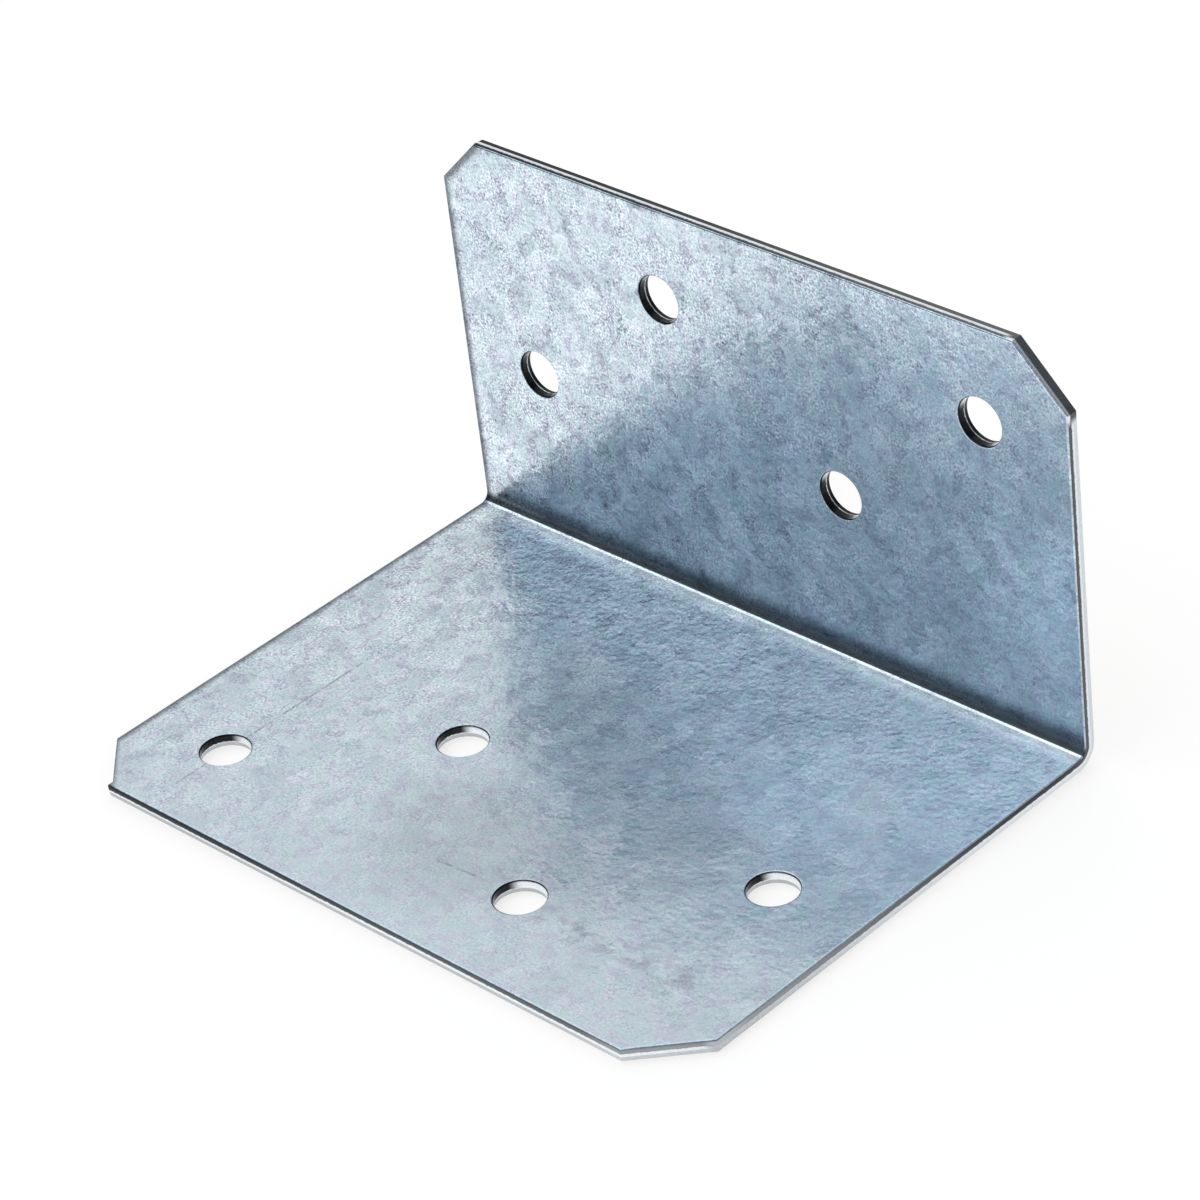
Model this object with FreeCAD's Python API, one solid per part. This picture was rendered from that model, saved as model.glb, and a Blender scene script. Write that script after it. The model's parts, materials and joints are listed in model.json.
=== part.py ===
import FreeCAD, Part
import os

from FreeCAD import Vector

# Framing angle: one strip of galvanised steel, notched at its four corners, punched for nails
# and folded once at a right angle. It lies on its base leg, with the upright leg at the back.
# X runs along the bend, Y from the front edge to the heel and Z up. The origin is on the
# underside, midway along the bend and midway between the front edge and the heel.

# Driving dimensions, in millimetres.
LENGTH = 69.0
BASE_LEG = 51.6
UPRIGHT_LEG = 38.9
GAUGE = 1.2
INSIDE_RADIUS = 0.9

# The notching tool was not quite centred on the strip, so each corner is cut by its own amount.
CUT_BASE_LEFT = 5.0
CUT_BASE_RIGHT = 5.3
CUT_UPRIGHT_LEFT = 4.4
CUT_UPRIGHT_RIGHT = 5.2

# The base's left notch stopped this far short of the front edge and left a small square nib.
NIB = 0.55

# Nail holes: their size, and their distances from the ends, the free edges and one another.
HOLE_DIAMETER = 4.4
END_DISTANCE = 9.1
BASE_EDGE_DISTANCE = 9.3
UPRIGHT_EDGE_DISTANCE = 8.8
COLUMN_PITCH = 15.875
ROW_PITCH = 12.7

# A sheared wall: rolled over where the punch goes in, straight for a bright land, and broken
# out wider on the die side. The punch comes from inside the angle.
DIE_ROLL = 0.2
BRIGHT_LAND = 0.4
BREAKOUT = 0.06

# Places worked out from the driving dimensions.
left_end = -LENGTH / 2
right_end = LENGTH / 2
front_edge = -BASE_LEG / 2
heel = BASE_LEG / 2
outside_radius = INSIDE_RADIUS + GAUGE
bend_y = heel - outside_radius
bend_z = outside_radius


def quarter_point(radius):
    """The middle of a quarter arc about the bend's axis, on the heel side."""
    reach = radius * 0.5 ** 0.5
    return Vector(left_end, bend_y + reach, bend_z - reach)


def angle_section():
    """The L section at the left end, with concentric arcs inside and outside the bend."""
    inner_y = heel - GAUGE
    corners = {
        "front_bottom": Vector(left_end, front_edge, 0),
        "heel_bottom": Vector(left_end, bend_y, 0),
        "heel_back": Vector(left_end, heel, bend_z),
        "top_back": Vector(left_end, heel, UPRIGHT_LEG),
        "top_inside": Vector(left_end, inner_y, UPRIGHT_LEG),
        "inside_upper": Vector(left_end, inner_y, bend_z),
        "inside_lower": Vector(left_end, bend_y, GAUGE),
        "front_top": Vector(left_end, front_edge, GAUGE),
    }
    line = Part.LineSegment
    edges = [
        line(corners["front_bottom"], corners["heel_bottom"]),
        Part.Arc(corners["heel_bottom"], quarter_point(outside_radius), corners["heel_back"]),
        line(corners["heel_back"], corners["top_back"]),
        line(corners["top_back"], corners["top_inside"]),
        line(corners["top_inside"], corners["inside_upper"]),
        Part.Arc(corners["inside_upper"], quarter_point(INSIDE_RADIUS), corners["inside_lower"]),
        line(corners["inside_lower"], corners["front_top"]),
        line(corners["front_top"], corners["front_bottom"]),
    ]
    return Part.Face(Part.Wire([edge.toShape() for edge in edges]))


def corner_notch(corner, along_end, along_edge, through, cut):
    """The waste of one corner, cut off at 45 degrees and reaching past the sheet all round.

    along_end points from the corner along the part's end, along_edge along its free edge, and
    through crosses the sheet towards its far side.
    """
    past = GAUGE
    start = corner - through * past
    outline = [
        start - along_end * past - along_edge * past,
        start + along_end * (cut + past) - along_edge * past,
        start + along_edge * (cut + past) - along_end * past,
    ]
    return Part.Face(Part.makePolygon(outline + outline[:1])).extrude(through * (GAUGE + 2 * past))


def nib_stock():
    """The strip beside the base's left notch that the notching tool missed."""
    past = 2 * GAUGE
    corner = Vector(left_end + CUT_BASE_LEFT - NIB, front_edge - past, -past)
    return Part.makeBox(NIB + past, 2 * NIB + past, GAUGE + 2 * past, corner)


def nail_punch(entry, direction):
    """What one punch takes out: a round land, then the wider breakout towards the die."""
    radius = HOLE_DIAMETER / 2
    land_depth = DIE_ROLL + BRIGHT_LAND
    land_end = entry + direction * land_depth
    land = Part.makeCylinder(radius, land_depth + GAUGE, entry - direction * GAUGE, direction)
    breakout_depth = GAUGE - land_depth
    slope = BREAKOUT / breakout_depth
    overrun = GAUGE
    mouth_radius = radius + slope * (breakout_depth + overrun)
    breakout = Part.makeCone(radius, mouth_radius, breakout_depth + overrun, land_end, direction)
    return land.fuse(breakout)


def nail_punches():
    """Two rows of two on each leg, staggered so that no two nails share a grain line."""
    outer_column = LENGTH / 2 - END_DISTANCE
    inner_column = outer_column - COLUMN_PITCH
    low_columns = (-outer_column, inner_column)
    high_columns = (-inner_column, outer_column)
    front_row = front_edge + BASE_EDGE_DISTANCE
    top_row = UPRIGHT_LEG - UPRIGHT_EDGE_DISTANCE
    base_rows = {front_row: low_columns, front_row + ROW_PITCH: high_columns}
    upright_rows = {top_row - ROW_PITCH: low_columns, top_row: high_columns}
    punches = []
    for y, columns in base_rows.items():
        punches += [nail_punch(Vector(x, y, GAUGE), Vector(0, 0, -1)) for x in columns]
    for z, columns in upright_rows.items():
        punches += [nail_punch(Vector(x, heel - GAUGE, z), Vector(0, 1, 0)) for x in columns]
    return punches


def is_inside_skin(face):
    """Whether a face is part of the angle's inside: the two inner flats and the inner bend."""
    bounds = face.BoundBox
    on_base = abs(bounds.ZMin - GAUGE) < 1e-6 and abs(bounds.ZMax - GAUGE) < 1e-6
    on_upright = abs(bounds.YMin - heel + GAUGE) < 1e-6 and abs(bounds.YMax - heel + GAUGE) < 1e-6
    in_bend = isinstance(face.Surface, Part.Cylinder) and abs(face.Surface.Radius - INSIDE_RADIUS) < 1e-6
    return on_base or on_upright or in_bend


def sheared_rims(sheet):
    """The inside skin's own boundary: its outline and the rims of the holes, without the bend lines."""
    edges = [edge for face in sheet.Faces if is_inside_skin(face) for edge in face.Edges]
    return [edge for edge in edges if sum(edge.isSame(other) for other in edges) == 1]


def framing_angle():
    sheet = angle_section().extrude(Vector(LENGTH, 0, 0))
    rightwards = Vector(1, 0, 0)
    upwards = Vector(0, 0, 1)
    backwards = Vector(0, 1, 0)
    base_left = Vector(left_end, front_edge, 0)
    base_right = Vector(right_end, front_edge, 0)
    upright_left = Vector(left_end, heel - GAUGE, UPRIGHT_LEG)
    upright_right = Vector(right_end, heel - GAUGE, UPRIGHT_LEG)
    waste = [
        corner_notch(base_left, backwards, rightwards, upwards, CUT_BASE_LEFT).cut(nib_stock()),
        corner_notch(base_right, backwards, -rightwards, upwards, CUT_BASE_RIGHT),
        corner_notch(upright_left, -upwards, rightwards, backwards, CUT_UPRIGHT_LEFT),
        corner_notch(upright_right, -upwards, -rightwards, backwards, CUT_UPRIGHT_RIGHT),
    ]
    sheet = sheet.cut(waste + nail_punches())
    return sheet.makeFillet(DIE_ROLL, sheared_rims(sheet))


os.makedirs("parts", exist_ok=True)
angle = framing_angle()
print("solids", len(angle.Solids), "valid", angle.isValid(), "volume", round(angle.Volume, 1), "mm3")
angle.Solids[0].exportStep("parts/framing_angle.step")
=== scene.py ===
import json
import math

import bmesh
import bpy
import numpy as np
from mathutils import Matrix, Vector


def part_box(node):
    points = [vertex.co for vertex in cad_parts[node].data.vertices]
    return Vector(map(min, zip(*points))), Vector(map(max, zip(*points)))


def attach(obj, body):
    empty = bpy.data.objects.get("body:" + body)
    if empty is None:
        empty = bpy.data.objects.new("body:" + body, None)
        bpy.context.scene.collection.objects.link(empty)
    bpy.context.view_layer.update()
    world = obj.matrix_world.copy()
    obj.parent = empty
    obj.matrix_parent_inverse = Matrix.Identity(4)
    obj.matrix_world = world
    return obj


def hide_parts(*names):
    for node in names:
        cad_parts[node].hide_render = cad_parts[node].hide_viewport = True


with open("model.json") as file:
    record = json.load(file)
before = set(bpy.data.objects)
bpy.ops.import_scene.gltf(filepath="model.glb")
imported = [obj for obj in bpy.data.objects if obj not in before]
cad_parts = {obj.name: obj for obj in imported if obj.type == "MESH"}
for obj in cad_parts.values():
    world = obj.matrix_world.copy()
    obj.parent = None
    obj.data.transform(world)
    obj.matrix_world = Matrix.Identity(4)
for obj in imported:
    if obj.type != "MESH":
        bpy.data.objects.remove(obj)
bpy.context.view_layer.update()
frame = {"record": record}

# The blank: a strip of galvanised sheet steel, sheared to length with its four corners clipped off.
# It is laid out flat: X along the bend, Y across the strip from where the bend starts on the base
# leg, and Z through the sheet, from its outer skin at 0 to its inner skin, where the tools come in.
mm = 0.001
low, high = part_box("framing_angle")
gauge = 1.2 * mm
inside_radius = 0.9 * mm
outside_radius = inside_radius + gauge
bend_run = math.pi / 2 * (inside_radius + gauge / 2)
bend_start = high.y - outside_radius
front_edge = low.y - bend_start
top_edge = bend_run + high.z - outside_radius

# The notching tool sat a little off centre, so each corner is clipped by its own amount, and at
# the base's left corner it stopped short of the front edge and left a small square nib.
clip_base_left = 5.0 * mm
clip_base_right = 5.3 * mm
clip_upright_left = 4.4 * mm
clip_upright_right = 5.2 * mm
nib = 0.55 * mm

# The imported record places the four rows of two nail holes, which are moved to the flat strip here.
nail_rows = []
for mount in frame["record"]["mounts"]:
    if mount["kind"] == "bolt_pattern":
        mount_x, mount_y, mount_z = mount["pos_m"]
        on_base = abs(mount["axis"][2]) > 0.5
        row_place = mount_y - bend_start if on_base else bend_run + mount_z - outside_radius
        nail_rows.append((mount_x, row_place))
        hole_spacing = mount["dims"]["spacing_x_mm"] * mm
        hole_radius = mount["dims"]["hole_r_mm"] * mm
hole_centres = []
for row_middle, row_place in nail_rows:
    hole_centres += [(row_middle + side * hole_spacing / 2, row_place) for side in (-1, 1)]
hole_columns = sorted({round(x, 7) for x, _ in hole_centres})
hole_rows = sorted({round(y, 7) for _, y in hole_centres})

# A sheared wall from the inner skin to the outer one: how far it is set back, and how high it is.
# The sheet rolls over where the tool comes in, is cut bright and straight, and then breaks away.
die_roll = 0.2 * mm
hole_land = 0.54 * mm
edge_land = 0.26 * mm
breakout = 0.05 * mm
burr_break = 0.03 * mm
rim_margin = 0.06 * mm
roll_turns = [math.radians(15 * step) for step in range(7)]
rolled_rim = []
for turn in roll_turns:
    rolled_rim.append((die_roll * (1 - math.sin(turn)), gauge - die_roll * (1 - math.cos(turn))))
inner_rim = (die_roll + rim_margin, gauge)
hole_land_foot = gauge - die_roll - hole_land
edge_land_foot = gauge - die_roll - edge_land
broken_edge = [(breakout, burr_break), (breakout + burr_break, 0.0)]
outer_rim = (inner_rim[0], 0.0)
hole_wall = [inner_rim, *rolled_rim, (0.0, hole_land_foot), *broken_edge, outer_rim]
edge_wall = [inner_rim, *rolled_rim, (0.0, edge_land_foot), *broken_edge, outer_rim]

# Each hole comes with a square patch of sheet round it, whose sides are divided by equal turns
# about the hole. The strip's ruled lines pass through the same divisions.
hole_patch = 3.4 * mm
patch_sides = 64
ruled_pitch = 1.3 * mm
same_place = 0.001 * mm
patch_turns = [2 * math.pi / patch_sides * step for step in range(-patch_sides // 8, patch_sides // 8)]


def ruled_lines(stops, centres):
    """Lines through every stop and every hole patch, and evenly spaced where no hole is."""
    marks = sorted(stops + [centre + side * hole_patch for centre in centres for side in (-1, 1)])
    lines = []
    for start, end in zip(marks, marks[1:]):
        middle = (start + end) / 2
        if min(abs(middle - centre) for centre in centres) < same_place:
            lines += [middle + hole_patch * math.tan(turn) for turn in patch_turns]
        else:
            count = math.ceil((end - start) / ruled_pitch)
            lines += list(np.linspace(start, end, count, endpoint=False))
    return lines + [marks[-1]]


def sheared_ends(y):
    """Where the strip's left and right ends are at a place across it, with the clipped corners."""
    from_front = y - front_edge
    from_top = top_edge - y
    left_clip = max(clip_base_left - max(from_front, nib), clip_upright_left - from_top, 0)
    right_clip = max(clip_base_right - from_front, clip_upright_right - from_top, 0)
    return low.x + left_clip, high.x - right_clip


clip_stops = [front_edge + clip for clip in (nib, clip_base_left, clip_base_right)]
clip_stops += [top_edge - clip for clip in (clip_upright_left, clip_upright_right)]
bend_steps = 12
bend_margin = 0.15 * mm
bend_stops = [bend_run * step / bend_steps for step in range(bend_steps + 1)]
bend_stops += [-bend_margin, bend_run + bend_margin]
columns = ruled_lines([low.x, high.x], hole_columns)
rows = ruled_lines([front_edge, top_edge, *clip_stops, *bend_stops], hole_rows)
last_column = len(columns) - 1
last_row = len(rows) - 1

# The outline runs once round the strip, with the set-back direction of each of its points.
outline = [(column, 0) for column in range(last_column)]
outline += [(last_column, row) for row in range(last_row)]
outline += [(column, last_row) for column in range(last_column, 0, -1)]
outline += [(0, row) for row in range(last_row, 0, -1)]
first_patch = hole_columns[0] - hole_patch
last_patch = hole_columns[-1] + hole_patch


def strip_point(column, row):
    """A ruled crossing, with the columns beyond the last holes drawn in to the clipped ends."""
    x, y = columns[column], rows[row]
    left, right = sheared_ends(y)
    if x < first_patch:
        x = first_patch + (left - first_patch) * (x - first_patch) / (low.x - first_patch)
    elif x > last_patch:
        x = last_patch + (right - last_patch) * (x - last_patch) / (high.x - last_patch)
    return np.array((x, y))


edge_points = np.array([strip_point(*place) for place in outline])
edge_runs = np.roll(edge_points, -1, 0) - edge_points
edge_runs /= np.linalg.norm(edge_runs, axis=1)[:, None]
run_normals = np.stack((edge_runs[:, 1], -edge_runs[:, 0]), 1)
earlier_normals = np.roll(run_normals, 1, 0)
sharpness = 1 + (run_normals * earlier_normals).sum(1)
set_back_ways = -(run_normals + earlier_normals) / sharpness[:, None]

blank_points = []
blank_faces = []


def lay_skin(height, turned_over):
    """One skin of the strip, with the hole patches left open, drawn in from the sheared outline."""
    first = len(blank_points)
    rims = {}
    for place, point, way in zip(outline, edge_points, set_back_ways):
        rims[place] = point + way * inner_rim[0]
    for row in range(last_row + 1):
        left_rim, right_rim = rims[0, row], rims[last_column, row]
        for column in range(last_column + 1):
            point = rims.get((column, row))
            if point is None:
                x, y = columns[column], rows[row]
                point = np.array((x, y))
                if x < first_patch:
                    point = np.array((first_patch, y))
                    point = point + (left_rim - point) * (x - first_patch) / (low.x - first_patch)
                elif x > last_patch:
                    point = np.array((last_patch, y))
                    point = point + (right_rim - point) * (x - last_patch) / (high.x - last_patch)
            blank_points.append((point[0], point[1], height))
    width = last_column + 1
    for row in range(last_row):
        for column in range(last_column):
            x = (columns[column] + columns[column + 1]) / 2
            y = (rows[row] + rows[row + 1]) / 2
            if min(max(abs(x - hole_x), abs(y - hole_y)) for hole_x, hole_y in hole_centres) < hole_patch:
                continue
            corner = first + row * width + column
            face = (corner, corner + 1, corner + 1 + width, corner + width)
            blank_faces.append(face[::-1] if turned_over else face)
    return [first + row * width + column for column, row in outline]


inner_loop = lay_skin(gauge, False)
outer_loop = lay_skin(0.0, True)
wall_loops = [inner_loop]
for set_back, height in edge_wall[1:-1]:
    wall_loops.append(list(range(len(blank_points), len(blank_points) + len(outline))))
    blank_points += [(x, y, height) for x, y in edge_points + set_back_ways * set_back]
wall_loops.append(outer_loop)
for upper, lower in zip(wall_loops, wall_loops[1:]):
    for place in range(len(outline)):
        blank_faces.append((upper[place - 1], lower[place - 1], lower[place], upper[place]))
blank_mesh = bpy.data.meshes.new("flat_strip")
blank_mesh.from_pydata(blank_points, [], blank_faces)
angle = bpy.data.objects.new("folded_angle", blank_mesh)
bpy.context.scene.collection.objects.link(angle)

# The zinc coat: hot-dip galvanising on both skins, dull and bluish, frozen into small feathery
# crystals that each lie at a slight tilt. It is grained, smudged by handling and rubbed in lines where
# the strip was fed past the tools, and painted shade darkens it round the holes and inside the bend.
zinc_blue = (0.565, 0.66, 0.735, 1)
zinc_grey = (0.65, 0.685, 0.725, 1)
teal_tint = (0.965, 1.015, 0.985, 1)
violet_tint = (1.03, 0.98, 1.015, 1)
to_mm = 1 / mm
skins_apart = 90.0


def add(tree, kind, inputs=(), **settings):
    """A node of a tree with its settings, and its inputs given as values or as other nodes' outputs."""
    node = tree.nodes.new(kind)
    for name, value in settings.items():
        setattr(node, name, value)
    for key, value in dict(inputs).items():
        if isinstance(value, bpy.types.NodeSocket):
            tree.links.new(value, node.inputs[key])
        else:
            node.inputs[key].default_value = value
    return node


def reckon(tree, operation, *values, **settings):
    """The result of one sum on numbers, each a value or another node's output."""
    return add(tree, "ShaderNodeMath", enumerate(values), operation=operation, **settings).outputs[0]


def vector_sum(tree, operation, *values):
    """The outputs of one sum on places or directions, each a value or another node's output."""
    return add(tree, "ShaderNodeVectorMath", enumerate(values), operation=operation).outputs


def ease(tree, value, start, end):
    """A soft step of a number from 0 at the start to 1 at the end."""
    inputs = {"Value": value, "From Min": start, "From Max": end}
    return add(tree, "ShaderNodeMapRange", inputs, interpolation_type="SMOOTHSTEP").outputs[0]


def mixed(tree, share, first, second):
    """A colour between two others, by a number from 0 to 1."""
    inputs = {"Factor": share, 6: first, 7: second}
    return add(tree, "ShaderNodeMix", inputs, data_type="RGBA").outputs[2]


def scaled(tree, direction, size):
    """A direction or a colour times a number."""
    inputs = {0: direction, "Scale": size}
    return add(tree, "ShaderNodeVectorMath", inputs, operation="SCALE").outputs[0]


zinc = bpy.data.materials.new("galvanised_zinc")
zinc.use_nodes = True
coat = zinc.node_tree
coat.nodes.clear()
strip_place = add(coat, "ShaderNodeAttribute", attribute_name="flat_place").outputs["Vector"]
place = add(coat, "ShaderNodeMapping", {"Vector": strip_place, "Scale": (to_mm, to_mm, to_mm)}).outputs[0]
along, across, depth = add(coat, "ShaderNodeSeparateXYZ", {0: place}).outputs
inside = ease(coat, depth, 0.4, 0.6)
own_part = reckon(coat, "MULTIPLY_ADD", inside, skins_apart, along)
skin_place = add(coat, "ShaderNodeCombineXYZ", {0: own_part, 1: across}).outputs[0]


def cloud(scale, detail, spot=skin_place):
    """Soft noise on a skin, with a scale in features per millimetre."""
    inputs = {"Vector": spot, "Scale": scale, "Detail": detail}
    return add(coat, "ShaderNodeTexNoise", inputs, noise_dimensions="2D").outputs


def shaded(share, least, most):
    """A shade between two strengths, by a number from 0 to 1."""
    return reckon(coat, "MULTIPLY_ADD", share, most - least, least)


def cells(spot, scale):
    """Cells scattered on a skin, with a scale in cells per millimetre."""
    inputs = {"Vector": spot, "Scale": scale}
    return add(coat, "ShaderNodeTexVoronoi", inputs, voronoi_dimensions="2D").outputs


def turned(spot, share, stretch):
    """A place turned by a share of a full turn, and then stretched."""
    inputs = {"Vector": spot, "Angle": reckon(coat, "MULTIPLY", share, 2 * math.pi)}
    spun = add(coat, "ShaderNodeVectorRotate", inputs, rotation_type="Z_AXIS").outputs[0]
    return add(coat, "ShaderNodeMapping", {"Vector": spun, "Scale": stretch}).outputs[0]


# The crystals: cells with ragged borders, each tilted its own way and combed in its own direction.
ragged = vector_sum(coat, "MULTIPLY", cloud(1.1, 2)["Color"], (2.4, 2.4, 0))[0]
crystal_place = vector_sum(coat, "ADD", skin_place, ragged)[0]
crystal = cells(crystal_place, 0.5)
own_numbers = add(coat, "ShaderNodeSeparateXYZ", {0: crystal["Color"]}).outputs
own_tilt = vector_sum(coat, "SUBTRACT", crystal["Color"], (0.5, 0.5, 0.5))[0]
from_centre = vector_sum(coat, "SUBTRACT", crystal_place, crystal["Position"])[0]
facet = vector_sum(coat, "DOT_PRODUCT", from_centre, own_tilt)["Value"]
combed = turned(from_centre, own_numbers[0], (0.45, 1.8, 1))
own_shift = vector_sum(coat, "MULTIPLY", crystal["Color"], (40, 40, 0))[0]
feather = cloud(1.0, 2, vector_sum(coat, "ADD", combed, own_shift)[0])[0]

# Odd leaf-shaped crystals, a millimetre or two long, that show darker than their neighbours.
leaf_cell = cells(skin_place, 0.22)
leaf_numbers = add(coat, "ShaderNodeSeparateXYZ", {0: leaf_cell["Color"]}).outputs
from_leaf = vector_sum(coat, "SUBTRACT", crystal_place, leaf_cell["Position"])[0]
leaf_place = turned(from_leaf, leaf_numbers[0], (0.75, 1.9, 1))
leaf_reach = vector_sum(coat, "LENGTH", leaf_place)["Value"]
leaf = reckon(coat, "MULTIPLY", ease(coat, leaf_reach, 1.05, 0.85), ease(coat, leaf_numbers[1], 0.4, 0.9))

grain = cloud(4.4, 1)[0]
mottle = cloud(0.25, 4)[0]
hue = cloud(0.6, 1)[0]
specks = ease(coat, cloud(2.3, 1)[0], 0.66, 0.74)
beside_comb_line = reckon(coat, "ABSOLUTE", reckon(coat, "SUBTRACT", feather, 0.5))
veins = reckon(coat, "MULTIPLY", ease(coat, beside_comb_line, 0.13, 0.04), ease(coat, hue, 0.54, 0.64))


def rub(start, end, width):
    """A soft mark on one skin, so wide, along a line between two places on the strip, in mm."""
    run = Vector(end) - Vector(start)
    offset = vector_sum(coat, "SUBTRACT", place, start)[0]
    way = vector_sum(coat, "DOT_PRODUCT", offset, tuple(run / run.length_squared))["Value"]
    way = reckon(coat, "ADD", way, 0.0, use_clamp=True)
    on_line = scaled(coat, tuple(run), way)
    aside = vector_sum(coat, "DISTANCE", offset, on_line)["Value"]
    return ease(coat, aside, width, 0.2 * width)


# Feed lines through the hole rows inside the angle, and scuffs on its outside, as (x, y, z) in mm.
top = gauge / mm
feed_lines = [
    ((-25.3, -47.4, top), (-24.9, -17.6, top), 0.17),
    ((-25.2, 13.8, top), (-25.4, 6.4, top), 0.14),
    ((-1.7, -40.8, top), (4.7, -40.3, top), 0.2),
    ((23.6, 14.4, top), (25.3, 13.4, top), 0.15),
    ((-18.0, -44.0, 0), (-15.0, -12.0, 0), 0.16),
    ((12.0, 9.0, 0), (19.5, 31.0, 0), 0.16),
    ((-28.0, 22.0, 0), (-10.0, 24.5, 0), 0.18),
    ((4.0, -33.0, 0), (22.0, -29.0, 0), 0.2),
]
rubbed = 0.0
for start, end, width in feed_lines:
    rubbed = reckon(coat, "MAXIMUM", rubbed, rub(start, end, width))
rubbed = reckon(coat, "MULTIPLY", rubbed, ease(coat, feather, 0.42, 0.56))
smudges = rub((12.2, -40.7, top), (28.2, -40.4, top), 1.6)
smudges = reckon(coat, "MULTIPLY", smudges, ease(coat, hue, 0.45, 0.6))

# Broad soft patches: darker in the middle of the base and lighter towards the right ends; the lighter
# patch on the base is a painted highlight for the bright edges of stamped lettering that is not modelled.
darker_patches = rub((0.0, -37.0, top), (9.0, -33.0, top), 13.0)
darker_patches = reckon(coat, "MAXIMUM", darker_patches, rub((-3.0, -19.0, top), (14.0, -30.0, top), 11.0))
lighter_patches = rub((22.0, -14.0, top), (32.0, -6.0, top), 13.0)
lighter_patches = reckon(coat, "MAXIMUM", lighter_patches, rub((24.0, 36.0, top), (34.0, 22.0, top), 16.0))

# The inside of the bend: the sheet dishes up towards it, a painted highlight runs along a line in it
# with painted shade just beside it, and painted shade darkens the fold above. Beside it the base is
# hammered by the clamp that held it.
in_fold = reckon(coat, "MINIMUM", ease(coat, across, 0.8, 0.9), ease(coat, across, 2.8, 1.2))
in_fold = reckon(coat, "MULTIPLY", in_fold, inside)
painted_highlight_line = reckon(coat, "MINIMUM", ease(coat, across, 0.4, 0.55), ease(coat, across, 0.95, 0.85))
painted_highlight_line = reckon(coat, "MULTIPLY", painted_highlight_line, inside)
painted_shade_beside_line = reckon(coat, "MINIMUM", ease(coat, across, -0.4, 0.0), ease(coat, across, 0.55, 0.4))
painted_shade_beside_line = reckon(coat, "MULTIPLY", painted_shade_beside_line, inside)
clamped = reckon(coat, "MINIMUM", ease(coat, across, -16.0, -7.0), ease(coat, across, 0.5, -0.5))
clamped = reckon(coat, "MULTIPLY", clamped, inside)
far_rise = reckon(coat, "MULTIPLY_ADD", across, 1 / 18.0, 1.0, use_clamp=True)
far_rise = reckon(coat, "MULTIPLY", reckon(coat, "POWER", far_rise, 2.0), 0.5)
near_rise = reckon(coat, "MULTIPLY_ADD", across, 1 / 1.9, 1.0, use_clamp=True)
near_rise = reckon(coat, "MULTIPLY", reckon(coat, "POWER", near_rise, 3.0), 0.25)
nose_share = reckon(coat, "DIVIDE", across, 0.9, use_clamp=True)
nose_rise = reckon(coat, "MULTIPLY", nose_share, reckon(coat, "MULTIPLY_ADD", nose_share, -0.11, 0.22))
dished = reckon(coat, "ADD", far_rise, reckon(coat, "ADD", near_rise, nose_rise))
dished = reckon(coat, "MULTIPLY", dished, inside)


def from_sheared_end(from_end, base_clip, upright_clip):
    """How far in a place on the strip is from one end and that end's two clipped corners, in mm."""
    past_base_clip = reckon(coat, "SUBTRACT", across, front_edge / mm + base_clip)
    before_upright_clip = reckon(coat, "SUBTRACT", top_edge / mm - upright_clip, across)
    nearer_clip = reckon(coat, "MINIMUM", past_base_clip, before_upright_clip)
    square_to_clip = 0.7
    from_clip = reckon(coat, "MULTIPLY", reckon(coat, "ADD", from_end, nearer_clip), square_to_clip)
    return reckon(coat, "MINIMUM", from_end, from_clip)


# The rolled rims are painted dark round the holes, a painted shade, and only a little darker along the
# sheared edges. At the left end and its clips, painted shade darkens a margin of the skin.
from_right = reckon(coat, "SUBTRACT", high.x / mm, along)
from_right = from_sheared_end(from_right, clip_base_right / mm, clip_upright_right / mm)
rim = reckon(coat, "MINIMUM", ease(coat, depth, top - 0.01, top - 0.05), inside)
from_front = reckon(coat, "SUBTRACT", across, front_edge / mm)
from_top = reckon(coat, "SUBTRACT", top_edge / mm, across)
from_edges = reckon(coat, "MINIMUM", from_right, reckon(coat, "MINIMUM", from_front, from_top))
rim = reckon(coat, "MULTIPLY", rim, shaded(ease(coat, from_edges, 0.2, 0.45), 0.15, 1.0))
from_left = reckon(coat, "SUBTRACT", along, low.x / mm)
from_left = from_sheared_end(from_left, clip_base_left / mm - 0.6, clip_upright_left / mm)
left_end_shade = reckon(coat, "MULTIPLY", ease(coat, from_left, 1.0, 0.25), inside)

# The grain and the crystals show most at the upright's left and least at the base's front right.
show = reckon(coat, "MULTIPLY_ADD", along, -0.012, 0.95)
show = reckon(coat, "MULTIPLY_ADD", across, 0.013, show)
show = reckon(coat, "MINIMUM", reckon(coat, "MAXIMUM", show, 0.4), 1.35)
grain_show = shaded(ease(coat, mottle, 0.35, 0.65), 0.5, 1.2)
texture = reckon(coat, "MULTIPLY", reckon(coat, "SUBTRACT", grain, 0.5), grain_show)
for share, strength in ((own_numbers[1], 0.16), (feather, 0.44), (mottle, 0.2)):
    texture = reckon(coat, "MULTIPLY_ADD", reckon(coat, "SUBTRACT", share, 0.5), strength, texture)
for share, strength in ((veins, -0.2), (specks, -0.16), (leaf, -0.17)):
    texture = reckon(coat, "MULTIPLY_ADD", share, strength, texture)
texture = reckon(coat, "MULTIPLY", texture, show)
shade = reckon(coat, "ADD", texture, 1.0)
for share, least, most in (
    (darker_patches, 1.0, 0.83),
    (lighter_patches, 1.0, 1.16),
    (clamped, 1.0, 0.98),
    (rubbed, 1.0, 0.56),
    (smudges, 1.0, 0.82),
    # Painted shade in the fold, a painted highlight along the bend's line and painted shade beside it.
    (in_fold, 1.0, 0.14),
    (painted_highlight_line, 1.0, 1.36),
    (painted_shade_beside_line, 1.0, 0.72),
    # Painted shade on the rims round the holes and in a margin along the left end.
    (rim, 1.0, 0.03),
    (left_end_shade, 1.0, 0.32),
):
    shade = reckon(coat, "MULTIPLY", shade, shaded(share, least, most))

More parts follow.
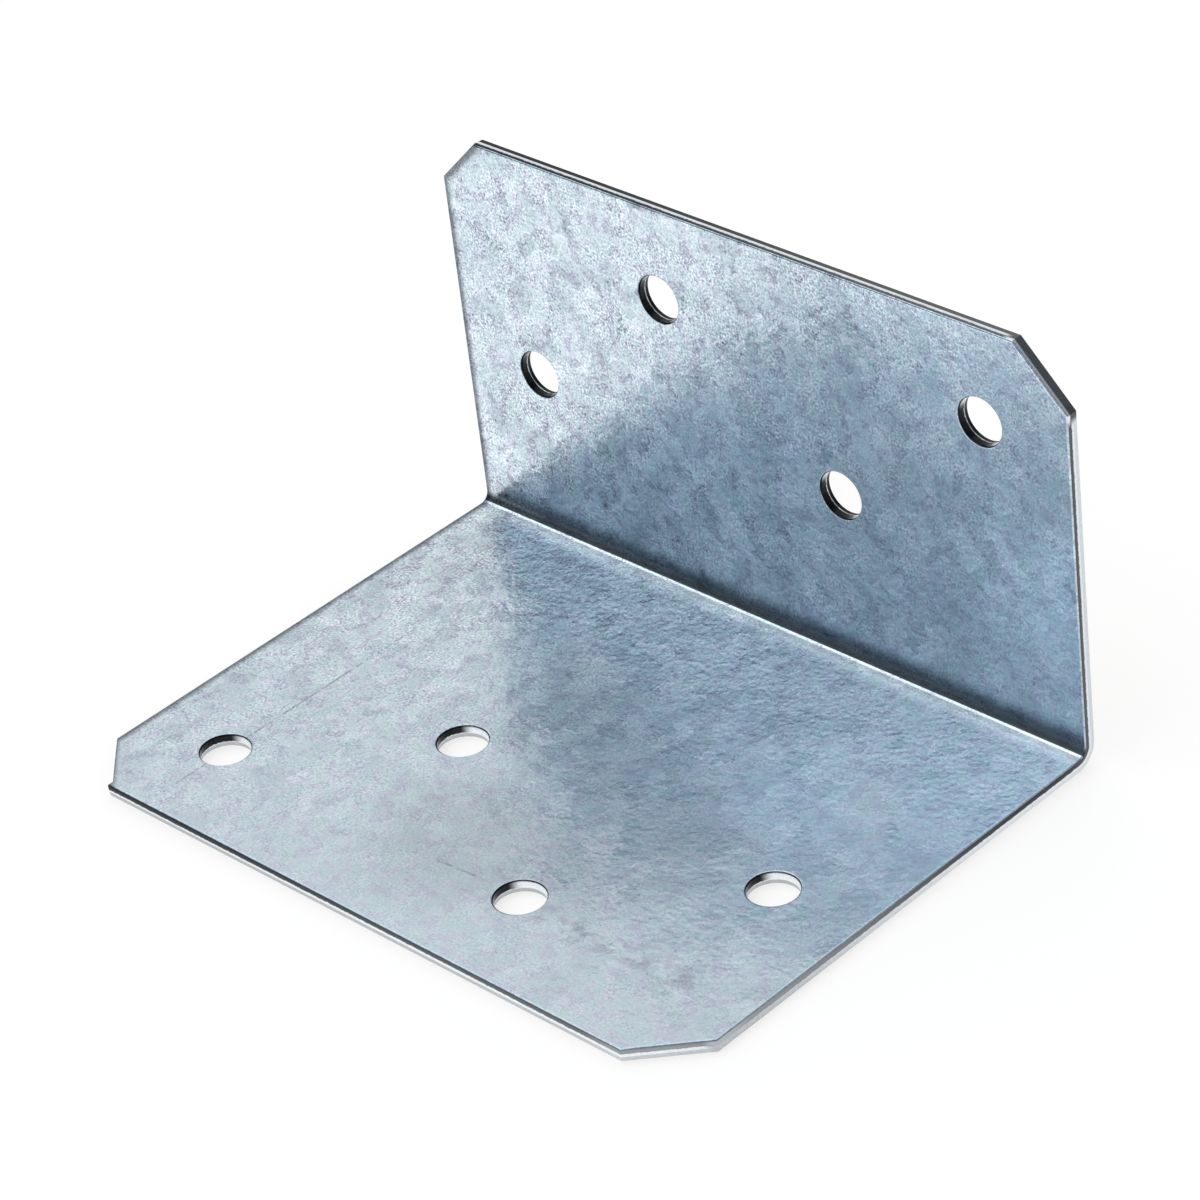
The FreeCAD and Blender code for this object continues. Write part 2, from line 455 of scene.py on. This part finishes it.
# The colour is bluer where the texture is dark, in patches of two faint tints.
greyness = reckon(coat, "MULTIPLY_ADD", texture, 1.6, 0.5, use_clamp=True)
colour = mixed(coat, greyness, zinc_blue, zinc_grey)
tint = mixed(coat, ease(coat, hue, 0.35, 0.65), teal_tint, violet_tint)
colour = scaled(coat, vector_sum(coat, "MULTIPLY", colour, tint)[0], shade)
roughness = reckon(coat, "ADD", shaded(mottle, 0.18, 0.34), shaded(own_numbers[2], -0.03, 0.03))
roughness = reckon(coat, "MULTIPLY_ADD", in_fold, 0.25, roughness)

# The relief in mm: tilted and combed crystals, grain, the clamp's hammering and the dished base.
height = reckon(coat, "MULTIPLY", facet, 0.03)
height = reckon(coat, "MULTIPLY_ADD", feather, 0.008, height)
height = reckon(coat, "MULTIPLY_ADD", cloud(0.9, 1)[0], shaded(clamped, 0.01, 0.027), height)
height = reckon(coat, "MULTIPLY_ADD", grain, 0.002, height)
height = reckon(coat, "MULTIPLY_ADD", cloud(1.8, 1)[0], shaded(clamped, 0.008, 0.028), height)
height = reckon(coat, "ADD", height, dished)
relief = add(coat, "ShaderNodeBump", {"Strength": 1.0, "Distance": mm, "Height": height}).outputs[0]
zinc_inputs = {"Base Color": colour, "Metallic": 1.0, "Roughness": roughness, "Normal": relief}
zinc_shader = add(coat, "ShaderNodeBsdfPrincipled", zinc_inputs)
add(coat, "ShaderNodeOutputMaterial", {"Surface": zinc_shader.outputs[0]})

# The sheared steel: bare walls left by the shear and the punches. From the inner skin down, each is a
# rolled rim and a burnished land, then a torn pale breakout and a burr line. Painted shade darkens the
# land and the burr line, on one side of each hole, more lightly towards the right, and all over the
# upright's right clip.
steel_white = (0.96, 0.985, 1.0)
steel = bpy.data.materials.new("sheared_steel")
steel.use_nodes = True
cut = steel.node_tree
cut.nodes.clear()
cut_place = add(cut, "ShaderNodeAttribute", attribute_name="flat_place").outputs["Vector"]
drag_place = add(cut, "ShaderNodeMapping", {"Vector": cut_place, "Scale": (to_mm, to_mm, 150)}).outputs[0]
drag = add(cut, "ShaderNodeTexNoise", {"Vector": drag_place, "Scale": 3.5, "Detail": 2.0}).outputs[0]
torn_place = add(cut, "ShaderNodeMapping", {"Vector": cut_place, "Scale": (to_mm, to_mm, to_mm)}).outputs[0]
torn = add(cut, "ShaderNodeTexNoise", {"Vector": torn_place, "Scale": 4.0, "Detail": 2.0}).outputs[0]

# Which wall a place is on, and where along the strip.
wall_along, wall_across, wall_height = add(cut, "ShaderNodeSeparateXYZ", {0: cut_place}).outputs
land_foot = add(cut, "ShaderNodeAttribute", attribute_name="land_foot").outputs["Fac"]
oil_side = add(cut, "ShaderNodeAttribute", attribute_name="oil_side").outputs["Fac"]
on_outline = reckon(cut, "GREATER_THAN", land_foot, (hole_land_foot + edge_land_foot) / 2)
on_upright = ease(cut, wall_across, -2 * mm, 2 * mm)
on_upright_outline = reckon(cut, "MULTIPLY", on_upright, on_outline)
to_left = ease(cut, wall_along, 5 * mm, -25 * mm)
to_front = ease(cut, wall_across, -8 * mm, -45 * mm)
left_end = ease(cut, wall_along, low.x + 0.9 * mm, low.x + 0.3 * mm)
right_end = ease(cut, wall_along, high.x - 0.9 * mm, high.x - 0.3 * mm)
upright_right_clip = high.x - clip_upright_right + top_edge
to_top_right = reckon(cut, "ADD", wall_along, wall_across)
on_shaded_clip = ease(cut, to_top_right, upright_right_clip - 1.2 * mm, upright_right_clip - 0.3 * mm)
front_right_clip = high.x - clip_base_right - front_edge
to_front_right = reckon(cut, "SUBTRACT", wall_along, wall_across)
corner_dark_lift = ease(cut, to_front_right, front_right_clip - 5 * mm, front_right_clip - 0.5 * mm)

# The land, painted dark as shade, whose foot wavers and lies a little higher or lower along the outline.
base_depth = reckon(cut, "MULTIPLY_ADD", to_left, 0.1 * mm, 0.05 * mm)
outline_depth = add(cut, "ShaderNodeMix", {0: on_upright, 2: base_depth, 3: -0.04 * mm}).outputs[0]
above_land_foot = reckon(cut, "SUBTRACT", wall_height, land_foot)
above_land_foot = reckon(cut, "MULTIPLY_ADD", right_end, 0.06 * mm, above_land_foot)
above_land_foot = reckon(cut, "MULTIPLY_ADD", on_outline, outline_depth, above_land_foot)
waver = reckon(cut, "MULTIPLY_ADD", drag, 0.2 * mm, -0.1 * mm)
on_land = ease(cut, reckon(cut, "ADD", above_land_foot, waver), -0.04 * mm, 0.08 * mm)
shade_reach = reckon(cut, "MULTIPLY_ADD", on_upright, -0.15, oil_side)
shade_reach = reckon(cut, "MULTIPLY_ADD", to_left, 0.6, shade_reach)
on_land = reckon(cut, "MULTIPLY", on_land, ease(cut, shade_reach, -0.1, 0.45))

# The burr line at the foot of the walls, painted dark as shade, weaker on the base and almost gone at the
# right end.
burr_height = reckon(cut, "MULTIPLY_ADD", on_upright_outline, -0.08 * mm, wall_height)
burr_strength = reckon(cut, "MULTIPLY_ADD", on_upright, 0.55, 0.45)
burr_left = reckon(cut, "MULTIPLY_ADD", right_end, -0.8, 1.0)
burr_strength = reckon(cut, "MULTIPLY", burr_strength, burr_left)
on_burr = reckon(cut, "MULTIPLY", ease(cut, burr_height, 0.46 * mm, 0.38 * mm), burr_strength)

# The painted shade on the upright's right clip starts a little below its rim, which stays pale.
near_skin = ease(cut, wall_height, gauge - 0.42 * mm, gauge - 0.22 * mm)
clip_rim_kept_pale = reckon(cut, "MULTIPLY", on_shaded_clip, near_skin)
painted_dark = reckon(cut, "MAXIMUM", reckon(cut, "MAXIMUM", on_land, on_burr), on_shaded_clip)
painted_dark = reckon(cut, "MULTIPLY", painted_dark, reckon(cut, "SUBTRACT", 1.0, clip_rim_kept_pale))

# The shades: torn steel, with painted shade making it greyer at the left end and the front right, and the
# painted dark of the land and burr, lighter towards the right.
pale_shade = reckon(cut, "MULTIPLY_ADD", torn, 0.3, 0.73)
front_right_end = reckon(cut, "MULTIPLY", right_end, to_front)
pale_shade = reckon(cut, "MULTIPLY_ADD", front_right_end, -0.3, pale_shade)
pale_shade = reckon(cut, "MULTIPLY_ADD", left_end, -0.25, pale_shade)
lift_scale = reckon(cut, "MULTIPLY_ADD", on_upright, 0.5, -0.75)
lift_scale = reckon(cut, "MULTIPLY_ADD", to_front, 2.2, lift_scale)
lift_scale = reckon(cut, "MULTIPLY_ADD", lift_scale, right_end, 1.0)
dark_lift = reckon(cut, "MULTIPLY", on_outline, ease(cut, wall_along, -25 * mm, 34 * mm))
dark_lift = reckon(cut, "MULTIPLY", dark_lift, lift_scale)
dark_shade = reckon(cut, "MULTIPLY_ADD", drag, 0.025, 0.006)
dark_shade = reckon(cut, "MULTIPLY_ADD", dark_lift, 0.12, dark_shade)
dark_shade = reckon(cut, "MULTIPLY_ADD", corner_dark_lift, 0.16, dark_shade)
cut_shade = add(cut, "ShaderNodeMix", {0: painted_dark, 2: pale_shade, 3: dark_shade}).outputs[0]
cut_roughness = reckon(cut, "MULTIPLY_ADD", on_land, -0.16, 0.38)
cut_relief = add(cut, "ShaderNodeBump", {"Strength": 0.5, "Distance": 0.03 * mm, "Height": torn})
steel_inputs = {
    "Base Color": scaled(cut, steel_white, cut_shade),
    "Metallic": 1.0,
    "Roughness": cut_roughness,
    "Normal": cut_relief.outputs[0],
}
steel_shader = add(cut, "ShaderNodeBsdfPrincipled", steel_inputs)
add(cut, "ShaderNodeOutputMaterial", {"Surface": steel_shader.outputs[0]})

# The nail holes and the fold: two staggered rows of two are punched in each leg while the strip is
# flat, and then the strip is folded once, a quarter turn about the bend's axis.
profile_curve = bpy.data.curves.new("hole_wall_profile", "CURVE")
profile_line = profile_curve.splines.new("POLY")
skin_reach = hole_patch - hole_radius - inner_rim[0]
skin_rings = [inner_rim[0] + skin_reach * share for share in (0.2, 0.5, 1.0)]
wall_and_skins = [(ring, gauge) for ring in reversed(skin_rings)]
wall_and_skins += hole_wall + [(ring, 0.0) for ring in skin_rings]
profile_line.points.add(len(wall_and_skins) - 1)
for point, (set_back, height) in zip(profile_line.points, wall_and_skins):
    point.co = (set_back, -height, 0, 1)
profile = bpy.data.objects.new("hole_wall_profile", profile_curve)
bpy.context.scene.collection.objects.link(profile)

press = bpy.data.node_groups.new("punched_and_folded_strip", "GeometryNodeTree")
press_inputs = {
    "Flat Strip": ("NodeSocketGeometry", None),
    "Hole Wall Profile": ("NodeSocketObject", profile),
    "Hole Radius": ("NodeSocketFloat", hole_radius),
    "Hole Spacing": ("NodeSocketFloat", hole_spacing),
    "Hole Patch": ("NodeSocketFloat", hole_patch),
    "Patch Sides": ("NodeSocketInt", patch_sides),
    "Rim Reach": ("NodeSocketFloat", hole_radius + inner_rim[0]),
    "Hole Land Foot": ("NodeSocketFloat", hole_land_foot),
    "Edge Land Foot": ("NodeSocketFloat", edge_land_foot),
    "Bend Start": ("NodeSocketFloat", bend_start),
    "Bend Run": ("NodeSocketFloat", bend_run),
    "Outside Radius": ("NodeSocketFloat", outside_radius),
    "Skin": ("NodeSocketMaterial", zinc),
    "Sheared Walls": ("NodeSocketMaterial", steel),
}
for number, (row_middle, row_place) in enumerate(nail_rows, 1):
    press_inputs[f"Row {number} Middle"] = ("NodeSocketVector", (row_middle, row_place, 0.0))
press_sockets = {}
for name, (kind, _) in press_inputs.items():
    press_sockets[name] = press.interface.new_socket(name, in_out="INPUT", socket_type=kind)
press.interface.new_socket("Folded Angle", in_out="OUTPUT", socket_type="NodeSocketGeometry")
given = press.nodes.new("NodeGroupInput").outputs


def note(mesh, name, value, kind="FLOAT", domain="POINT"):
    """The mesh with a value written on its points or its faces, for the materials to read."""
    inputs = {"Geometry": mesh, "Name": name, "Value": value}
    return add(press, "GeometryNodeStoreNamedAttribute", inputs, data_type=kind, domain=domain).outputs[0]


# One punched hole: its wall turned about the hole's axis, with the skin rings drawn out to a square.
circle_inputs = {"Resolution": given["Patch Sides"], "Radius": given["Hole Radius"]}
rim_circle = add(press, "GeometryNodeCurvePrimitiveCircle", circle_inputs)
wall_shape = add(press, "GeometryNodeObjectInfo", {"Object": given["Hole Wall Profile"]})
sweep_inputs = {"Curve": rim_circle.outputs[0], "Profile Curve": wall_shape.outputs["Geometry"]}
swept_wall = add(press, "GeometryNodeCurveToMesh", sweep_inputs)
spot = add(press, "GeometryNodeInputPosition").outputs[0]
spot_x, spot_y, spot_z = add(press, "ShaderNodeSeparateXYZ", {0: spot}).outputs
sideways = reckon(press, "ABSOLUTE", spot_x)
endways = reckon(press, "ABSOLUTE", spot_y)
farthest = reckon(press, "MAXIMUM", sideways, endways)
sideways_squared = reckon(press, "MULTIPLY", sideways, sideways)
endways_squared = reckon(press, "MULTIPLY", endways, endways)
reach = reckon(press, "SQRT", reckon(press, "ADD", sideways_squared, endways_squared))
beyond_rim = reckon(press, "SUBTRACT", reach, given["Rim Reach"])
patch_width = reckon(press, "SUBTRACT", given["Hole Patch"], given["Rim Reach"])
share_out = reckon(press, "DIVIDE", beyond_rim, patch_width, use_clamp=True)
corner_stretch = reckon(press, "SUBTRACT", reckon(press, "DIVIDE", reach, farthest), 1.0)
stretch = reckon(press, "MULTIPLY", share_out, corner_stretch)
stretch = reckon(press, "MULTIPLY", stretch, given["Hole Patch"])
widened = reckon(press, "ADD", 1.0, reckon(press, "DIVIDE", stretch, reach))
widen_ways = add(press, "ShaderNodeCombineXYZ", {0: widened, 1: widened, 2: 1.0}).outputs[0]
patch_spot = vector_sum(press, "MULTIPLY", spot, widen_ways)[0]
hole = add(press, "GeometryNodeSetPosition", {"Geometry": swept_wall.outputs[0], "Position": patch_spot})
hole = note(hole.outputs[0], "land_foot", given["Hole Land Foot"])
# The side of each hole's wall that gets painted shade: the front left.
front_left = reckon(press, "ADD", spot_x, spot_y)
front_left = reckon(press, "DIVIDE", front_left, given["Hole Radius"])
front_left = reckon(press, "MULTIPLY", front_left, -math.sqrt(0.5))
hole = note(hole, "oil_side", front_left)

# The rows of holes, joined to the flat strip.
half_spacing = reckon(press, "DIVIDE", given["Hole Spacing"], 2.0)
row_back = add(press, "ShaderNodeCombineXYZ", {0: half_spacing}).outputs[0]
row_step = add(press, "ShaderNodeCombineXYZ", {0: given["Hole Spacing"]}).outputs[0]
all_rows = add(press, "GeometryNodeJoinGeometry")
for number in range(1, len(nail_rows) + 1):
    row_start = vector_sum(press, "SUBTRACT", given[f"Row {number} Middle"], row_back)[0]
    row_inputs = {"Count": 2, "Start Location": row_start, "Offset": row_step}
    row_of_holes = add(press, "GeometryNodeMeshLine", row_inputs, mode="OFFSET", count_mode="TOTAL")
    press.links.new(row_of_holes.outputs[0], all_rows.inputs[0])
punch_inputs = {"Points": all_rows.outputs[0], "Instance": hole}
punched = add(press, "GeometryNodeInstanceOnPoints", punch_inputs)
punched = add(press, "GeometryNodeRealizeInstances", {0: punched.outputs[0]})
strip = note(given["Flat Strip"], "land_foot", given["Edge Land Foot"])
# The outline's walls get the painted shade all round.
strip = note(strip, "oil_side", 1.0)
whole = add(press, "GeometryNodeJoinGeometry")
press.links.new(strip, whole.inputs[0])
press.links.new(punched.outputs[0], whole.inputs[0])
weld_gap = 0.002 * mm
whole = add(press, "GeometryNodeMergeByDistance", {"Geometry": whole.outputs[0], "Distance": weld_gap})
whole = note(whole.outputs[0], "flat_place", spot, kind="FLOAT_VECTOR")
facing = add(press, "GeometryNodeInputNormal").outputs[0]
facing_up = reckon(press, "ABSOLUTE", add(press, "ShaderNodeSeparateXYZ", {0: facing}).outputs[2])
on_wall = reckon(press, "LESS_THAN", facing_up, 0.5)
whole = note(whole, "sheared", on_wall, domain="FACE")

# The fold: points past the bend's start turn about its axis, and those past its end rise straight.
turn = reckon(press, "DIVIDE", spot_y, given["Bend Run"], use_clamp=True)
turn = reckon(press, "MULTIPLY", turn, math.pi / 2)
bend_reach = reckon(press, "SUBTRACT", given["Outside Radius"], spot_z)
swung_back = reckon(press, "MULTIPLY", bend_reach, reckon(press, "SINE", turn))
folded_y = reckon(press, "ADD", given["Bend Start"], reckon(press, "MINIMUM", spot_y, 0.0))
folded_y = reckon(press, "ADD", folded_y, swung_back)
rise = reckon(press, "MAXIMUM", reckon(press, "SUBTRACT", spot_y, given["Bend Run"]), 0.0)
below_axis = reckon(press, "MULTIPLY", bend_reach, reckon(press, "COSINE", turn))
folded_z = reckon(press, "ADD", given["Outside Radius"], rise)
folded_z = reckon(press, "SUBTRACT", folded_z, below_axis)
folded_spot = add(press, "ShaderNodeCombineXYZ", {0: spot_x, 1: folded_y, 2: folded_z}).outputs[0]
folded = add(press, "GeometryNodeSetPosition", {"Geometry": whole, "Position": folded_spot})
folded = add(press, "GeometryNodeRealizeInstances", {0: folded.outputs[0]})
folded = add(press, "GeometryNodeSetMaterial", {"Geometry": folded.outputs[0], "Material": given["Skin"]})
sheared = add(press, "GeometryNodeInputNamedAttribute", {"Name": "sheared"}, data_type="BOOLEAN")
wall_inputs = {
    "Geometry": folded.outputs[0],
    "Selection": sheared.outputs[0],
    "Material": given["Sheared Walls"],
}
folded = add(press, "GeometryNodeSetMaterial", wall_inputs)
add(press, "NodeGroupOutput", {0: folded.outputs[0]})

# The pressed angle as a plain mesh, with its faces outwards.
pressing = angle.modifiers.new("punch_and_fold", "NODES")
pressing.node_group = press
for name, (_, value) in press_inputs.items():
    if value is not None:
        pressing[press_sockets[name].identifier] = value
evaluated = angle.evaluated_get(bpy.context.evaluated_depsgraph_get())
folded_mesh = bpy.data.meshes.new_from_object(evaluated)
angle.modifiers.remove(pressing)
angle.data = folded_mesh
bpy.data.objects.remove(profile)
shell = bmesh.new()
shell.from_mesh(folded_mesh)
bmesh.ops.recalc_face_normals(shell, faces=shell.faces)
shell.to_mesh(folded_mesh)
shell.free()
folded_mesh.shade_smooth()
folded_mesh.set_sharp_from_angle(angle=math.radians(30))
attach(angle, "root")
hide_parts("framing_angle")

# The floor: a plain white table top that the angle lies on. Its glow makes it white where the studio
# lights it fully, so that the angle's soft shadow still shows. Mirrored in the metal, it glows a little
# less beyond the angle's right end.
floor_mesh = bpy.data.meshes.new("table_top")
floor_side = 4.0
floor_level = -0.02 * mm
floor_paint = (0.5, 0.5, 0.5, 1)
floor_glow = (0.69, 0.66, 0.63, 1)
floor_corners = []
for x, y in ((-1, -1), (1, -1), (1, 1), (-1, 1)):
    floor_corners.append((x * floor_side, y * floor_side, floor_level))
floor_mesh.from_pydata(floor_corners, [], [(0, 1, 2, 3)])
floor = bpy.data.objects.new("table_top", floor_mesh)
bpy.context.scene.collection.objects.link(floor)
table_white = bpy.data.materials.new("table_white")
table_white.use_nodes = True
table = table_white.node_tree
table.nodes.clear()
ray = add(table, "ShaderNodeLightPath").outputs
table_place = add(table, "ShaderNodeTexCoord").outputs["Object"]
table_x = add(table, "ShaderNodeSeparateXYZ", {0: table_place}).outputs[0]
mirrored = reckon(table, "MULTIPLY_ADD", ease(table, table_x, 31 * mm, 37 * mm), -0.15, 0.82)
in_gloss_or_glass = reckon(table, "MAXIMUM", ray["Is Glossy Ray"], ray["Is Transmission Ray"])
mirrored = reckon(table, "MULTIPLY", mirrored, in_gloss_or_glass)
paint = add(table, "ShaderNodeBsdfDiffuse", {"Color": floor_paint})
seen_glow = add(table, "ShaderNodeEmission", {"Color": floor_glow, "Strength": ray["Is Camera Ray"]})
mirrored_glow = add(table, "ShaderNodeEmission", {"Color": (1, 1, 1, 1), "Strength": mirrored})
glow = add(table, "ShaderNodeAddShader", {0: seen_glow.outputs[0], 1: mirrored_glow.outputs[0]})
table_top = add(table, "ShaderNodeAddShader", {0: paint.outputs[0], 1: glow.outputs[0]})
add(table, "ShaderNodeOutputMaterial", {"Surface": table_top.outputs[0]})
floor_mesh.materials.append(table_white)

# The studio: a wide soft light overhead on the left that fades through blue to a dim room, another low
# behind on the left, and a pale wall on the right. The camera sees plain white beyond the floor.
back_light = (0.90, 0.925, 0.945, 1)
pale_wall = (0.46, 0.49, 0.53, 1)
world = bpy.data.worlds.new("soft_studio")
bpy.context.scene.world = world
world.use_nodes = True
room = world.node_tree
room.nodes.clear()
looking = add(room, "ShaderNodeTexCoord").outputs["Generated"]
rightwards, backwards, upwards = add(room, "ShaderNodeSeparateXYZ", {0: looking}).outputs
overhead = reckon(room, "MULTIPLY", ease(room, upwards, 0.36, 0.68), ease(room, rightwards, 0.4, -0.1))
back_left = ease(room, reckon(room, "SUBTRACT", backwards, rightwards), 0.4, 1.0)
behind = reckon(room, "MULTIPLY", back_left, ease(room, upwards, 0.05, 0.3))
right_wall = reckon(room, "MULTIPLY", ease(room, rightwards, 0.0, 0.45), ease(room, upwards, 0.85, 0.5))
fade = add(room, "ShaderNodeValToRGB", {0: overhead})
fade_stops = fade.color_ramp.elements
fade_stops[0].position = 0.0
fade_stops[0].color = (0.06, 0.085, 0.12, 1)
fade_stops[1].position = 1.0
fade_stops[1].color = (1.18, 1.26, 1.33, 1)
fade_stops.new(0.35).color = (0.37, 0.58, 0.78, 1)
fade_stops.new(0.7).color = (0.67, 0.83, 0.95, 1)
lit = mixed(room, behind, fade.outputs[0], back_light)
lit = mixed(room, right_wall, lit, pale_wall)
room_ray = add(room, "ShaderNodeLightPath").outputs
room_light = add(room, "ShaderNodeBackground", {"Color": lit, "Strength": 1.0})
backdrop = add(room, "ShaderNodeBackground", {"Color": (1, 1, 1, 1), "Strength": 1.0})
shown_inputs = {0: room_ray["Is Camera Ray"], 1: room_light.outputs[0], 2: backdrop.outputs[0]}
room_shown = add(room, "ShaderNodeMixShader", shown_inputs)
add(room, "ShaderNodeOutputWorld", {"Surface": room_shown.outputs[0]})

# The camera: a long lens from the front right and above, leaning a little to one side.
aim = Vector((1.97, 3.13, 16.02)) * mm
distance = 378.9 * mm
azimuth = math.radians(47.22)
elevation = math.radians(33.44)
lean = math.radians(7.08)
forward = Vector((
    -math.sin(azimuth) * math.cos(elevation),
    math.cos(azimuth) * math.cos(elevation),
    -math.sin(elevation),
))
level_right = Vector((math.cos(azimuth), math.sin(azimuth), 0))
level_up = level_right.cross(forward)
right = level_right * math.cos(lean) - level_up * math.sin(lean)
up = level_right * math.sin(lean) + level_up * math.cos(lean)
lens = bpy.data.cameras.new("long_lens")
lens.lens = 139.3
lens.sensor_width = 36
lens.clip_start = 0.01
camera = bpy.data.objects.new("long_lens", lens)
stand = Matrix.Translation(aim - forward * distance)
camera.matrix_world = stand @ Matrix((right, up, -forward)).transposed().to_4x4()
bpy.context.scene.collection.objects.link(camera)
bpy.context.scene.camera = camera
bpy.context.scene.view_settings.view_transform = "Standard"
